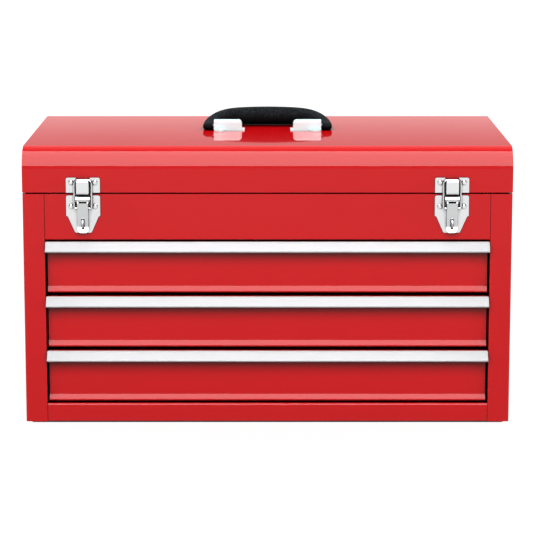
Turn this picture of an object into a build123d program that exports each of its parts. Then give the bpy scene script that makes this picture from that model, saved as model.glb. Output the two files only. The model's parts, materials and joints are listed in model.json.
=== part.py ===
from build123d import *
from math import atan2, cos, degrees, radians, sin
import os

os.makedirs("parts", exist_ok=True)

# Frame: x runs across, y from front to back, z up. The origin is the middle of the
# base plate's underside, so the chest stands on z = 0. All sizes are millimetres.

# Cabinet shell
WIDTH = 520.0
DEPTH = 300.0
HEIGHT = 298.2
SHEET = 1.0
BASE_PLATE = 1.5
BASE_INSET = 5.0
BEND = 2.0
POST_WIDTH = 23.2
POST_RETURN = 12.0
PANEL_JOINT = 0.4
FLANGE = 10.0
BACK_FLANGE = 18.0
RAIL_HEIGHT = 20.2
PANEL_HEIGHT = 49.5

# Drawer stack
DRAWERS = 3
DRAWER_GAP = 3.3
BOTTOM_GAP = 2.0
TOP_GAP = 1.4
DRAWER_SIDE_GAP = 2.2
FACE_RECESS = 6.0
LIP_RISE = 6.6
LIP_SETBACK = 2.8
TOP_LIP_SETBACK = 1.5
TOP_LIP_HEIGHT = 9.0
TOP_LIP_SLOPE = 3.5
PAN_BACK_GAP = 25.0
PAN_TOP_GAP = 9.5
PAN_LIFT = 2.5

# Drawer pull
PULL_SHEET = 1.4
PULL_SIDE_GAP = 0.6
PULL_DROP = 0.3
PULL_REACH = 8.8
PULL_FALL = 9.0
PULL_HEM = 2.2
PULL_HEM_FALL = 0.7
PULL_FLAT = 1.8
PULL_BEND = 0.9

# Ball slides
SLIDE_SHEET = 1.2
SLIDE_START = 17.0
SLIDE_BACK_GAP = 37.0
SLIDE_POST_GAP = 1.0
MEMBER_DEPTH = 9.6
OUTER_HEIGHT = 32.0
BALL = 4.0
BALL_PLAY = 0.1
CAGE_SHEET = 0.8
CAGE_LENGTH = 60.0
CAGE_PLAY = 0.4
BALL_PITCH = 22.0
UPRIGHT_WIDTH = 30.0
FRONT_UPRIGHT = 38.0
REAR_UPRIGHT = 65.0

# Top tray
TRAY_PLAY = 0.4
TRAY_RIM_DROP = 0.6
TRAY_CORNER = 3.0

# Lid and hinge
SEAM = 1.6
LID_HEIGHT = 47.4
LID_FRONT_RADIUS = 22.0
LID_BACK_RADIUS = 4.0
END_PLAY = 0.05
HINGE_MARGIN = 20.0
HINGE_KNUCKLES = 24
KNUCKLE_GAP = 0.3
KNUCKLE_RADIUS = 3.0
HINGE_PIN_RADIUS = 1.5
PIN_PLAY = 0.1
HINGE_STANDOFF = 0.3
LEAF = 1.2
LEAF_HEIGHT = 18.0
LEAF_RELIEF = 0.7
HINGE_RIVETS = 6

# Lid stays
STAY_RADIUS = 25.0
STAY_LID_ANGLE = 15.0
STAY_BODY_ANGLE = 20.0
LID_OPEN_ANGLE = 95.0
STAY_SHEET = 1.5
STAY_HALF_WIDTH = 4.2
STAY_PIN_RADIUS = 2.0
STAY_RIVET_RADIUS = 2.5
STAY_PLAY = 0.3
STAY_HEAD_RADIUS = 3.8
STAY_HEAD = 1.0
STAY_STANDOFF = 0.8

# Carrying handle
HANDLE_Y = 11.0
PIVOT_HEIGHT = 4.4
HANDLE_LENGTH = 145.0
HANDLE_REACH = 50.0
GRIP_DEPTH = 20.0
GRIP_TOP = 21.0
GRIP_LIFT = 0.1
CROWN_FALL = 2.6
CROWN_SHOULDER = 1.3
CROWN_INSET = 0.575
ARM_WIDTH = 12.05
GRIP_ROUND = 2.0
BRACKET_LENGTH = 31.3
BRACKET_HEIGHT = 11.2
BRACKET_DEPTH = 16.0
BRACKET_ROUND = 2.0
BRACKET_END_ROUND = 4.0
BRACKET_FOOT = 1.5
BRACKET_TOE = 3.0
BRACKET_TAB = 6.0
HANDLE_PIN_RADIUS = 2.2
HANDLE_GAP = 0.4
BRACKET_RIVET_RADIUS = 4.0
BRACKET_RIVET_HEAD = 1.6

# Draw latches
LATCH_INSET = 64.6
LATCH_SHEET = 1.2
LATCH_WIDTH = 36.0
LATCH_CORNER = 2.0
STRIKE_HEIGHT = 16.0
NOTCH_WIDTH = 15.0
NOTCH_DEPTH = 2.5
HOOK_WIDTH = 13.1
HOOK_REACH = 9.0
HOOK_DROP = 0.8
HOOK_TOP = 13.6
HOOK_LEDGE_FALL = 2.4
HOOK_LEDGE_GAP = 0.7
HOOK_ROUND = 3.5
HOOK_BEND = 0.7
BASE_TOP_GAP = 1.4
BASE_HEIGHT = 39.9
BASE_SHOULDER = 21.7
BASE_STEP = 1.8
BASE_FOOT_WIDTH = 17.2
LEVER_WIDTH = 11.3
LEVER_SHEET = 1.0
LEVER_PIVOT_OUT = 6.0
LEVER_PIVOT_DROP = 4.7
LEVER_KNUCKLE = 3.2
LEVER_PIN_RADIUS = 1.5
LEVER_PIN_PLAY = 0.1
LEVER_LENGTH = 35.9
LEVER_TIP_LIFT = 6.2
EAR_SHEET = 1.2
EAR_GAP = 0.45
EAR_RADIUS = 3.2
BAIL_RADIUS = 1.1
BAIL_HALF = 9.0
BAIL_DROP = 9.7
BAIL_INSET = 1.2
BAIL_CORNER = 3.6
BAIL_PLAY = 0.1
BAIL_SEAT = 0.65
STAPLE_SHEET = 1.6
STAPLE_HEIGHT = 8.0
STAPLE_REACH = 12.5
STAPLE_HOLE_RADIUS = 2.1
STAPLE_HOLE_OUT = 8.4
STAPLE_DROP = 26.0
SLOT_PLAY = 0.9
SLOT_RUN = 2.2
LATCH_RIVET_SPREAD = 12.9
LATCH_RIVET_RADIUS = 2.6
LATCH_RIVET_HEAD = 1.5
STRIKE_RIVET_DROP = 5.2
BASE_RIVET_DROP = 11.8

# Places that follow from the sizes above
FRONT = -DEPTH / 2
BACK = DEPTH / 2
SIDE_IN = WIDTH / 2 - SHEET
OPENING = WIDTH / 2 - POST_WIDTH
RAIL_TOP = BASE_PLATE + RAIL_HEIGHT
LID_TOP = HEIGHT
LID_BOTTOM = LID_TOP - LID_HEIGHT
BODY_TOP = LID_BOTTOM - SEAM
PANEL_BOTTOM = BODY_TOP - PANEL_HEIGHT
TRAY_FLOOR = PANEL_BOTTOM + SHEET
STACK_HEIGHT = PANEL_BOTTOM - TOP_GAP - RAIL_TOP - BOTTOM_GAP
PITCH = (STACK_HEIGHT + DRAWER_GAP) / DRAWERS
DRAWER_HEIGHT = PITCH - DRAWER_GAP
PAN_WALL = DRAWER_HEIGHT - PAN_LIFT - PAN_TOP_GAP
HINGE_LENGTH = WIDTH - 2 * HINGE_MARGIN
LATCH_X = WIDTH / 2 - LATCH_INSET
HINGE_Y = BACK + HINGE_STANDOFF + KNUCKLE_RADIUS
HINGE_Z = BODY_TOP + SEAM / 2
ARM_HALF_HEIGHT = PIVOT_HEIGHT - GRIP_LIFT


def block(x0, x1, y0, y1, z0, z1):
    """Box between two corners."""
    middle = Pos((x0 + x1) / 2, (y0 + y1) / 2, (z0 + z1) / 2)
    return middle * Box(abs(x1 - x0), abs(y1 - y0), abs(z1 - z0))


def bent(points, radii, thickness):
    """Flat drawing of a folded sheet: a line with rounded bends given a thickness."""
    return trace(FilletPolyline(*points, radius=radii), line_width=thickness)


def run_x(drawing, x0, x1):
    """Run a (y, z) drawing along x."""
    return extrude(Plane.YZ.offset(x0) * drawing, amount=x1 - x0, dir=(1, 0, 0))


def run_y(drawing, y0, y1):
    """Run an (x, z) drawing along y."""
    return extrude(Plane.XZ.offset(-y0) * drawing, amount=y1 - y0, dir=(0, 1, 0))


def run_z(drawing, z0, z1):
    """Run an (x, y) drawing along z."""
    return extrude(Plane.XY.offset(z0) * drawing, amount=z1 - z0, dir=(0, 0, 1))


def rod_x(radius, x0, x1, y, z):
    """Round bar along x."""
    return Pos((x0 + x1) / 2, y, z) * Rot(0, 90, 0) * Cylinder(radius, x1 - x0)


def rod_y(radius, y0, y1, x, z):
    """Round bar along y."""
    return Pos(x, (y0 + y1) / 2, z) * Rot(90, 0, 0) * Cylinder(radius, y1 - y0)


def polygon(points):
    """Filled drawing through points."""
    return make_face(Polyline(*points, close=True))


def rounded(points, radii):
    """Filled drawing through points with a radius at each."""
    return make_face(FilletPolyline(*points, radius=radii, close=True))


def flip(shape):
    """Mirror image across the middle of the chest."""
    return mirror(shape, about=Plane.YZ)


def lines_at(shape, axis, x=None, y=None, z=None):
    """Straight edges along an axis whose middles lie at the given places."""
    found = []
    for edge in shape.edges().filter_by(axis):
        middle = edge.center()
        near_x = x is None or abs(middle.X - x) < 0.01
        near_y = y is None or abs(middle.Y - y) < 0.01
        near_z = z is None or abs(middle.Z - z) < 0.01
        if near_x and near_y and near_z:
            found.append(edge)
    return found


def group(solids):
    """Several separate solids in one file."""
    return Compound(children=list(solids))


def save(shape, name):
    """Write one piece."""
    export_step(shape, "parts/" + name + ".step")


def out(distance):
    """Place in y that lies this far in front of the cabinet's face."""
    return FRONT - distance


# Side panels: wall, front post and rear flange are one folded sheet.
wall_mid = WIDTH / 2 - SHEET / 2
front_mid = FRONT + SHEET / 2
flange_mid = BACK - 1.5 * SHEET
side_line = [
    (wall_mid - BACK_FLANGE, flange_mid),
    (wall_mid, flange_mid),
    (wall_mid, front_mid),
    (OPENING, front_mid),
]
side = run_z(bent(side_line, BEND, SHEET), BASE_PLATE, BODY_TOP)
side += block(OPENING, OPENING + SHEET, front_mid, FRONT + POST_RETURN, RAIL_TOP, PANEL_BOTTOM)
side += block(
    SIDE_IN - FLANGE,
    SIDE_IN + SHEET / 2,
    FRONT + SHEET / 2,
    BACK - 1.5 * SHEET,
    BASE_PLATE,
    BASE_PLATE + SHEET,
)
side = fillet(lines_at(side, Axis.Z, x=OPENING, y=FRONT), SHEET / 2)
save(side, "right_side_panel")
save(flip(side), "left_side_panel")

# Back panel lies over the rear flanges and turns in under the drawers.
back_half = WIDTH / 2 - PANEL_JOINT
back_panel = block(-back_half, back_half, BACK - SHEET, BACK, BASE_PLATE, BODY_TOP)
foot_half = wall_mid - BACK_FLANGE - PANEL_JOINT
back_panel += block(
    -foot_half, foot_half, BACK - FLANGE, BACK - SHEET / 2, BASE_PLATE, BASE_PLATE + SHEET
)
save(back_panel, "back_panel")

# Base plate is the only piece on the floor, set in from the shell's edge.
base_x = WIDTH / 2 - BASE_INSET
base_y = DEPTH / 2 - BASE_INSET / 2
base_plate = block(-base_x, base_x, -base_y, base_y, 0, BASE_PLATE)
base_plate = fillet(base_plate.edges().filter_by(Axis.Z), BASE_INSET)
save(base_plate, "base_plate")

# Fixed front panel above the drawers, with a return that carries the tray.
panel_half = OPENING - PANEL_JOINT
panel_line = [
    (FRONT + POST_RETURN, PANEL_BOTTOM + SHEET / 2),
    (front_mid, PANEL_BOTTOM + SHEET / 2),
    (front_mid, BODY_TOP),
]
save(run_x(bent(panel_line, SHEET, SHEET), -panel_half, panel_half), "front_top_panel")

# Bottom rail is a channel that stands on the base plate.
rail_line = [
    (FRONT + POST_RETURN, RAIL_TOP - SHEET / 2),
    (front_mid, RAIL_TOP - SHEET / 2),
    (front_mid, BASE_PLATE + SHEET / 2),
    (FRONT + POST_RETURN, BASE_PLATE + SHEET / 2),
]
rail = run_x(bent(rail_line, [BEND, SHEET], SHEET), -panel_half, panel_half)
save(rail, "front_bottom_rail")

# Top tray: floor of the lid compartment, its rim just below the cabinet's edge.
tray_x = SIDE_IN - TRAY_PLAY
tray_front = FRONT + SHEET + TRAY_PLAY
tray_back = BACK - 2 * SHEET - TRAY_PLAY
tray_rim = BODY_TOP - TRAY_RIM_DROP
tray = block(-tray_x, tray_x, tray_front, tray_back, TRAY_FLOOR, tray_rim)
tray = fillet(tray.edges().filter_by(Axis.Z), TRAY_CORNER)
tray = fillet(tray.faces().sort_by(Axis.Z)[0].edges(), BEND)
tray_hollow = block(
    SHEET - tray_x,
    tray_x - SHEET,
    tray_front + SHEET,
    tray_back - SHEET,
    TRAY_FLOOR + SHEET,
    tray_rim + SHEET,
)
tray_hollow = fillet(tray_hollow.edges().filter_by(Axis.Z), TRAY_CORNER - SHEET)
tray_hollow = fillet(tray_hollow.faces().sort_by(Axis.Z)[0].edges(), BEND - SHEET)
save(tray - tray_hollow, "top_tray")

# Slide places, from the drawer outward: pan wall, drawer member, cage, cabinet member.
member_edge = OPENING - SLIDE_POST_GAP
pan_half = member_edge - MEMBER_DEPTH
cage_in = member_edge + CAGE_PLAY
cage_out = cage_in + CAGE_SHEET
outer_in = cage_out + CAGE_PLAY
upright_face = outer_in + SLIDE_SHEET
slide_front = FRONT + SLIDE_START
slide_back = BACK - SLIDE_BACK_GAP
outer_mid = OUTER_HEIGHT / 2 - SLIDE_SHEET / 2
inner_top = OUTER_HEIGHT / 2 - SLIDE_SHEET - BALL - 2 * BALL_PLAY
inner_mid = inner_top - SLIDE_SHEET / 2
ball_up = inner_top + BALL_PLAY + BALL / 2
ball_x = (pan_half + member_edge) / 2 + SLIDE_SHEET / 2
slide_middle = (slide_front + slide_back) / 2

# Slide uprights: channels between the side wall and the slides.
for hand in ("right", "left"):
    channels = []
    for start in (FRONT + FRONT_UPRIGHT, BACK - REAR_UPRIGHT - UPRIGHT_WIDTH):
        near = start + SLIDE_SHEET / 2
        far = near + UPRIGHT_WIDTH - SLIDE_SHEET
        channel_line = [
            (SIDE_IN, near),
            (upright_face + SLIDE_SHEET / 2, near),
            (upright_face + SLIDE_SHEET / 2, far),
            (SIDE_IN, far),
        ]
        channel = bent(channel_line, BEND, SLIDE_SHEET)
        channels.append(run_z(channel, BASE_PLATE + SHEET, TRAY_FLOOR))
    if hand == "left":
        channels = [flip(piece) for piece in channels]
    save(group(channels), hand + "_slide_uprights")

# Drawers from the bottom up
for number, place in enumerate(("bottom", "middle", "top")):
    low = RAIL_TOP + BOTTOM_GAP + number * PITCH
    high = low + DRAWER_HEIGHT
    centre = low + PAN_LIFT + PAN_WALL / 2

    face_mid = FRONT + FACE_RECESS + SHEET / 2
    lip_mid = FRONT + LIP_SETBACK + SHEET / 2
    top_mid = FRONT + TOP_LIP_SETBACK + SHEET / 2
    front_back = FRONT + POST_RETURN
    front_line = [
        (front_back + SHEET, high - SHEET / 2),
        (top_mid, high - SHEET / 2),
        (top_mid, high - TOP_LIP_HEIGHT),
        (face_mid, high - TOP_LIP_HEIGHT - TOP_LIP_SLOPE),
        (face_mid, low + LIP_RISE),
        (lip_mid, low + 2 * SHEET),
        (lip_mid, low + SHEET / 2),
        (front_back, low + SHEET / 2),
    ]
    front_radii = [SHEET, SHEET, SHEET, SHEET, SHEET, 0.7 * SHEET]
    front_half = OPENING - DRAWER_SIDE_GAP
    front = run_x(bent(front_line, front_radii, SHEET), -front_half, front_half)
    for edge in (-front_half, front_half - SHEET):
        front += block(
            edge,
            edge + SHEET,
            face_mid,
            front_back,
            low + LIP_RISE + SHEET,
            high - TOP_LIP_HEIGHT - TOP_LIP_SLOPE - SHEET,
        )
    save(front, place + "_drawer_front")

    pan_front = FRONT + FACE_RECESS + SHEET
    pan_back = BACK - PAN_BACK_GAP
    pan_low = low + PAN_LIFT
    pan_high = pan_low + PAN_WALL
    pan = block(-pan_half, pan_half, pan_front, pan_back, pan_low, pan_high)
    pan -= block(
        SHEET - pan_half,
        pan_half - SHEET,
        pan_front + SHEET,
        pan_back - SHEET,
        pan_low + SHEET,
        pan_high + SHEET,
    )
    save(pan, place + "_drawer_pan")

    pull_mid = FRONT + TOP_LIP_SETBACK - PULL_SHEET / 2
    pull_top = high - PULL_DROP - PULL_SHEET / 2
    pull_nose = pull_mid - PULL_REACH
    pull_low = pull_top - PULL_FALL
    pull_line = [
        (pull_mid, pull_low + SHEET),
        (pull_mid, pull_top),
        (pull_mid - PULL_FLAT, pull_top),
        (pull_nose, pull_low),
        (pull_nose + PULL_HEM, pull_low - PULL_HEM_FALL),
    ]
    pull_half = OPENING - PULL_SIDE_GAP
    pull = run_x(bent(pull_line, PULL_BEND, PULL_SHEET), -pull_half, pull_half)
    save(pull, place + "_drawer_pull")

    outer_line = [
        (upright_face - MEMBER_DEPTH, centre + outer_mid),
        (upright_face - SLIDE_SHEET / 2, centre + outer_mid),
        (upright_face - SLIDE_SHEET / 2, centre - outer_mid),
        (upright_face - MEMBER_DEPTH, centre - outer_mid),
    ]
    outer = run_y(bent(outer_line, SLIDE_SHEET, SLIDE_SHEET), slide_front, slide_back)
    save(group([outer, flip(outer)]), place + "_cabinet_members")

    inner_line = [
        (member_edge, centre + inner_mid),
        (pan_half + SLIDE_SHEET / 2, centre + inner_mid),
        (pan_half + SLIDE_SHEET / 2, centre - inner_mid),
        (member_edge, centre - inner_mid),
    ]
    inner = run_y(bent(inner_line, SLIDE_SHEET, SLIDE_SHEET), slide_front, slide_back)
    save(group([inner, flip(inner)]), place + "_drawer_members")

    cage_line = [
        (ball_x - BALL, centre + ball_up),
        (cage_in + CAGE_SHEET / 2, centre + ball_up),
        (cage_in + CAGE_SHEET / 2, centre - ball_up),
        (ball_x - BALL, centre - ball_up),
    ]
    cage_front = slide_middle - CAGE_LENGTH / 2
    cage = run_y(bent(cage_line, CAGE_SHEET, CAGE_SHEET), cage_front, cage_front + CAGE_LENGTH)
    balls = []
    for step in (-1, 0, 1):
        for level in (centre + ball_up, centre - ball_up):
            spot = Pos(ball_x, slide_middle + step * BALL_PITCH, level)
            cage -= spot * Cylinder(BALL / 2 + BALL_PLAY, 2 * CAGE_SHEET)
            balls.append(spot * Sphere(BALL / 2))
    save(group([cage, flip(cage)]), place + "_ball_cages")
    save(group(balls + [flip(ball) for ball in balls]), place + "_slide_balls")

# Lid: top, rounded front edge, front and back walls are one bent sheet.
lid_line = [
    (front_mid, LID_BOTTOM),
    (front_mid, LID_TOP - SHEET / 2),
    (BACK - SHEET / 2, LID_TOP - SHEET / 2),
    (BACK - SHEET / 2, LID_BOTTOM),
]
lid_radii = [LID_FRONT_RADIUS - SHEET / 2, LID_BACK_RADIUS - SHEET / 2]
save(run_x(bent(lid_line, lid_radii, SHEET), -WIDTH / 2, WIDTH / 2), "lid_shell")

end_front = FRONT + SHEET + END_PLAY
end_back = BACK - SHEET - END_PLAY
end_top = LID_TOP - SHEET - END_PLAY
end_points = [
    (end_front, LID_BOTTOM),
    (end_front, end_top),
    (end_back, end_top),
    (end_back, LID_BOTTOM),
]
inner_drop = SHEET + END_PLAY
end_radii = [0, LID_FRONT_RADIUS - inner_drop, LID_BACK_RADIUS - inner_drop, 0]
lid_end = run_x(rounded(end_points, end_radii), SIDE_IN, WIDTH / 2)
save(lid_end, "lid_right_end")
save(flip(lid_end), "lid_left_end")

# Continuous hinge: two leaves with knuckles in turn, one pin.
leaf_clear = KNUCKLE_RADIUS + LEAF_RELIEF
hinge_half = HINGE_LENGTH / 2
body_leaf = block(
    -hinge_half, hinge_half, BACK, BACK + LEAF, HINGE_Z - LEAF_HEIGHT, HINGE_Z - leaf_clear
)
lid_leaf = block(
    -hinge_half, hinge_half, BACK, BACK + LEAF, HINGE_Z + leaf_clear, HINGE_Z + LEAF_HEIGHT
)
knuckle_run = HINGE_LENGTH / HINGE_KNUCKLES
for knuckle in range(HINGE_KNUCKLES):
    x0 = -hinge_half + knuckle * knuckle_run + KNUCKLE_GAP / 2
    x1 = x0 + knuckle_run - KNUCKLE_GAP
    barrel = rod_x(KNUCKLE_RADIUS, x0, x1, HINGE_Y, HINGE_Z)
    if knuckle % 2 == 0:
        body_leaf += barrel + block(x0, x1, BACK, BACK + LEAF, HINGE_Z - leaf_clear, HINGE_Z)
    else:
        lid_leaf += barrel + block(x0, x1, BACK, BACK + LEAF, HINGE_Z, HINGE_Z + leaf_clear)
bore = rod_x(HINGE_PIN_RADIUS + PIN_PLAY, -WIDTH / 2, WIDTH / 2, HINGE_Y, HINGE_Z)
save(body_leaf - bore, "cabinet_hinge_leaf")
save(lid_leaf - bore, "lid_hinge_leaf")
save(rod_x(HINGE_PIN_RADIUS, -hinge_half, hinge_half, HINGE_Y, HINGE_Z), "hinge_pin")

rivet_run = HINGE_LENGTH / HINGE_RIVETS
rivet_reach = (leaf_clear + LEAF_HEIGHT) / 2
body_rivets = []
lid_rivets = []
for number in range(HINGE_RIVETS):
    x = -hinge_half + (number + 0.5) * rivet_run
    head = rod_y(LATCH_RIVET_RADIUS, BACK + LEAF, BACK + 2 * LEAF, x, HINGE_Z - rivet_reach)
    body_rivets.append(fillet(head.edges().group_by(Axis.Y)[-1], LEAF / 2))
    head = rod_y(LATCH_RIVET_RADIUS, BACK + LEAF, BACK + 2 * LEAF, x, HINGE_Z + rivet_reach)
    lid_rivets.append(fillet(head.edges().group_by(Axis.Y)[-1], LEAF / 2))
save(group(body_rivets), "cabinet_hinge_rivets")
save(group(lid_rivets), "lid_hinge_rivets")

# Lid stays. The lid rivet and the guide pin lie equally far from the hinge line, so the
# slotted arm turns by exactly half the lid's angle.
lid_turn = radians(STAY_LID_ANGLE)
body_turn = radians(STAY_BODY_ANGLE)
stay_lid_y = HINGE_Y - STAY_RADIUS * cos(lid_turn)
stay_lid_z = HINGE_Z + STAY_RADIUS * sin(lid_turn)
stay_pin_y = HINGE_Y - STAY_RADIUS * cos(body_turn)
stay_pin_z = HINGE_Z - STAY_RADIUS * sin(body_turn)
closed_angle = STAY_LID_ANGLE + STAY_BODY_ANGLE
closed_run = 2 * STAY_RADIUS * sin(radians(closed_angle / 2))
open_run = 2 * STAY_RADIUS * sin(radians((closed_angle + LID_OPEN_ANGLE) / 2))
stay_out = tray_x - SHEET - STAY_STANDOFF
stay_in = stay_out - STAY_SHEET
stay_tilt = degrees(atan2(stay_pin_z - stay_lid_z, stay_pin_y - stay_lid_y))


def stadium(start, end, half):
    """Round-ended bar drawing along the first axis."""
    bar = Pos((start + end) / 2, 0) * Rectangle(end - start, 2 * half)
    return bar + Pos(start, 0) * Circle(half) + Pos(end, 0) * Circle(half)


arm = stadium(0, open_run + STAY_PLAY, STAY_HALF_WIDTH)
arm -= stadium(closed_run - STAY_PLAY, open_run + STAY_PLAY, STAY_PIN_RADIUS + STAY_PLAY)
arm -= Circle(STAY_RIVET_RADIUS + PIN_PLAY)
arm = Pos(stay_lid_y, stay_lid_z) * Rot(0, 0, stay_tilt) * arm
stay = run_x(arm, stay_in, stay_out)
save(stay, "right_lid_stay")
save(flip(stay), "left_lid_stay")

head_in = stay_in - STAY_PLAY - STAY_HEAD
head_out = stay_in - STAY_PLAY
collar_in = stay_out + STAY_PLAY
stay_rivet = rod_x(STAY_HEAD_RADIUS, head_in, head_out, stay_lid_y, stay_lid_z)
stay_rivet += rod_x(STAY_RIVET_RADIUS, head_out, collar_in, stay_lid_y, stay_lid_z)
stay_rivet += rod_x(STAY_HEAD_RADIUS, collar_in, SIDE_IN, stay_lid_y, stay_lid_z)
save(group([stay_rivet, flip(stay_rivet)]), "lid_stay_rivets")
stay_pin = rod_x(STAY_HEAD_RADIUS, head_in, head_out, stay_pin_y, stay_pin_z)
stay_pin += rod_x(STAY_PIN_RADIUS, head_out, collar_in, stay_pin_y, stay_pin_z)
stay_pin += rod_x(STAY_HEAD_RADIUS, collar_in, tray_x - SHEET, stay_pin_y, stay_pin_z)
save(group([stay_pin, flip(stay_pin)]), "lid_stay_pins")

# Handle brackets: hollow saddles riveted on the lid, one for each pivot pin.
pivot_z = LID_TOP + PIVOT_HEIGHT
bracket_out = HANDLE_LENGTH / 2 - ARM_WIDTH - HANDLE_GAP
bracket_in = bracket_out - BRACKET_LENGTH
saddle_y0 = HANDLE_Y - BRACKET_DEPTH / 2
saddle_y1 = HANDLE_Y + BRACKET_DEPTH / 2
saddle_top = LID_TOP + BRACKET_HEIGHT
saddle_points = [
    (bracket_in, LID_TOP),
    (bracket_in, saddle_top),
    (bracket_out, saddle_top),
    (bracket_out, LID_TOP),
]
saddle = run_y(rounded(saddle_points, [0, BRACKET_END_ROUND, 0, 0]), saddle_y0, saddle_y1)
rim_lines = []
for wall in (saddle.faces().sort_by(Axis.Y)[0], saddle.faces().sort_by(Axis.Y)[-1]):
    for edge in wall.edges():
        if edge.center().Z > LID_TOP + SHEET and edge.center().X < bracket_out - SHEET:
            rim_lines.append(edge)
saddle = fillet(rim_lines, BRACKET_ROUND)
saddle += block(bracket_in - BRACKET_TOE, bracket_out, saddle_y0, saddle_y1, LID_TOP, LID_TOP + BRACKET_FOOT)
rivet_x = bracket_out - BRACKET_TAB - SHEET
for turn in (-1, 1):
    tab_y = HANDLE_Y + turn * (BRACKET_DEPTH / 2 + BRACKET_TAB / 2)
    tab = Pos(rivet_x, tab_y, LID_TOP + BRACKET_FOOT / 2) * Cylinder(BRACKET_TAB, BRACKET_FOOT)
    saddle += tab
handle_bore = HANDLE_PIN_RADIUS + PIN_PLAY
saddle -= rod_x(handle_bore, bracket_in - SHEET, bracket_out + SHEET, HANDLE_Y, pivot_z)
save(saddle, "right_handle_bracket")
save(flip(saddle), "left_handle_bracket")

bracket_rivets = []
for turn in (-1, 1):
    tab_y = HANDLE_Y + turn * (BRACKET_DEPTH / 2 + BRACKET_RIVET_RADIUS)
    head_z = LID_TOP + BRACKET_FOOT + BRACKET_RIVET_HEAD / 2
    head = Pos(rivet_x, tab_y, head_z) * Cylinder(BRACKET_RIVET_RADIUS, BRACKET_RIVET_HEAD)
    head = fillet(head.edges().group_by(Axis.Z)[-1], 0.8 * BRACKET_RIVET_HEAD)
    bracket_rivets.append(head)
    bracket_rivets.append(flip(head))
save(group(bracket_rivets), "handle_bracket_rivets")

# Grip: where the outline seen from above meets the outline seen from the front.
half_length = HANDLE_LENGTH / 2
arm_in = half_length - ARM_WIDTH
grip_back = HANDLE_Y + HANDLE_REACH + GRIP_DEPTH / 2
grip_front = HANDLE_Y + HANDLE_REACH - GRIP_DEPTH / 2
arm_end = HANDLE_Y - ARM_HALF_HEIGHT
plan_points = [
    (-half_length, arm_end),
    (-half_length, grip_back),
    (half_length, grip_back),
    (half_length, arm_end),
    (arm_in, arm_end),
    (arm_in, grip_front),
    (-arm_in, grip_front),
    (-arm_in, arm_end),
]
corner = 1.5 * GRIP_DEPTH
plan_radii = [0, corner, corner, 0, 0, GRIP_DEPTH, GRIP_DEPTH, 0]
plan = run_z(rounded(plan_points, plan_radii), LID_TOP, LID_TOP + 2 * GRIP_TOP)
grip_low = LID_TOP + GRIP_LIFT
grip_high = LID_TOP + GRIP_TOP
arm_high = pivot_z + ARM_HALF_HEIGHT
crown_knee = arm_in - GRIP_DEPTH - CROWN_INSET
crown = Spline(
    (half_length, arm_high - ARM_HALF_HEIGHT / 3),
    (arm_in, (arm_high + grip_high) / 2 - CROWN_SHOULDER),
    (crown_knee, grip_high - CROWN_FALL),
    (0, grip_high),
    (-crown_knee, grip_high - CROWN_FALL),
    (-arm_in, (arm_high + grip_high) / 2 - CROWN_SHOULDER),
    (-half_length, arm_high - ARM_HALF_HEIGHT / 3),
)
skirt = Polyline(
    (-half_length, arm_high - ARM_HALF_HEIGHT / 3),
    (-half_length, grip_low),
    (half_length, grip_low),
    (half_length, arm_high - ARM_HALF_HEIGHT / 3),
)
profile = run_y(make_face(crown + skirt), arm_end, grip_back)
grip = plan & profile
# The arms stay inside a round hub at the pivot and rise toward the grip.
side_points = [
    (HANDLE_Y, pivot_z + ARM_HALF_HEIGHT),
    (HANDLE_Y + HANDLE_REACH, grip_high),
    (grip_back, grip_high),
    (grip_back, grip_low),
    (HANDLE_Y, grip_low),
]
hub = rod_x(ARM_HALF_HEIGHT, -half_length, half_length, HANDLE_Y, pivot_z)
grip = grip & (run_x(polygon(side_points), -half_length, half_length) + hub)
grip = fillet(grip.edges(), GRIP_ROUND)
pin_end = half_length - ARM_WIDTH / 3
grip -= rod_x(HANDLE_PIN_RADIUS, arm_in - SHEET, pin_end, HANDLE_Y, pivot_z)
grip -= rod_x(HANDLE_PIN_RADIUS, -pin_end, SHEET - arm_in, HANDLE_Y, pivot_z)
save(grip, "handle_grip")
pin_start = bracket_in + SHEET
handle_pin = rod_x(HANDLE_PIN_RADIUS, pin_start, pin_end, HANDLE_Y, pivot_z)
save(group([handle_pin, flip(handle_pin)]), "handle_pivot_pins")

# Draw latches, drawn about their own middle and then moved out to each side.
strike_low = LID_BOTTOM
strike_top = LID_BOTTOM + STRIKE_HEIGHT
latch_half = LATCH_WIDTH / 2
strike_points = [
    (-latch_half, strike_low),
    (-latch_half, strike_top),
    (-NOTCH_WIDTH / 2, strike_top),
    (-NOTCH_WIDTH / 2, strike_top - NOTCH_DEPTH),
    (NOTCH_WIDTH / 2, strike_top - NOTCH_DEPTH),
    (NOTCH_WIDTH / 2, strike_top),
    (latch_half, strike_top),
    (latch_half, strike_low),
]
strike_radii = [0, LATCH_CORNER, 0.5, 1, 1, 0.5, LATCH_CORNER, 0]
strike = run_y(rounded(strike_points, strike_radii), out(LATCH_SHEET), FRONT)
hook_low = strike_low - HOOK_DROP
hook_mid = out(HOOK_REACH - LATCH_SHEET / 2)
hook_high = strike_low + HOOK_TOP - LATCH_SHEET / 2
ledge_y = out(LATCH_SHEET + HOOK_LEDGE_GAP)
hook_line = [
    (out(LATCH_SHEET / 2), strike_low + LATCH_SHEET),
    (out(LATCH_SHEET / 2), hook_low + LATCH_SHEET / 2),
    (hook_mid, hook_low + LATCH_SHEET / 2),
    (hook_mid, hook_high),
    (ledge_y, hook_high - HOOK_LEDGE_FALL),
]
hook = run_x(bent(hook_line, [0, LATCH_SHEET, HOOK_BEND], LATCH_SHEET), -HOOK_WIDTH / 2, HOOK_WIDTH / 2)
hook_frame = [
    (-HOOK_WIDTH / 2, hook_low),
    (-HOOK_WIDTH / 2, hook_high + LATCH_SHEET),
    (HOOK_WIDTH / 2, hook_high + LATCH_SHEET),
    (HOOK_WIDTH / 2, hook_low),
]
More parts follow.
